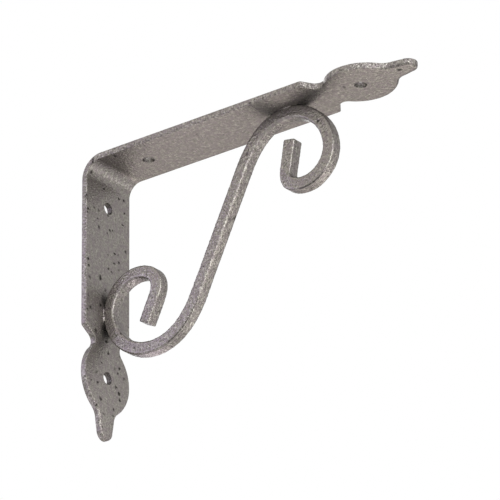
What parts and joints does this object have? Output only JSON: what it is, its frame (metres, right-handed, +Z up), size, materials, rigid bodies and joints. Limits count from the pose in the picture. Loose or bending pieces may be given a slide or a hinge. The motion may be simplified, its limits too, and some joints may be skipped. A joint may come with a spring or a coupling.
{
  "type": "scroll shelf bracket",
  "caption": "Steel shelf bracket: a flat strap bent to a right angle with leaf-shaped ends, braced by an S-shaped scroll of square bar, in a grey hammer finish.",
  "frame": {"origin": "on the wall plane, midway between the two wall screws", "axes": "+X out from the wall along the shelf leg, +Z up along the wall leg, +Y across the strap"},
  "size_m": [0.1625, 0.0286, 0.1245],
  "materials": {
    "hammer_coat": "grey hammer powder coat on mild steel, fine mottled grain with small dark pits, semi-gloss"
  },
  "bodies": {
    "root": {"strap": "hammer_coat", "scroll": "hammer_coat"}
  },
  "joints": []
}
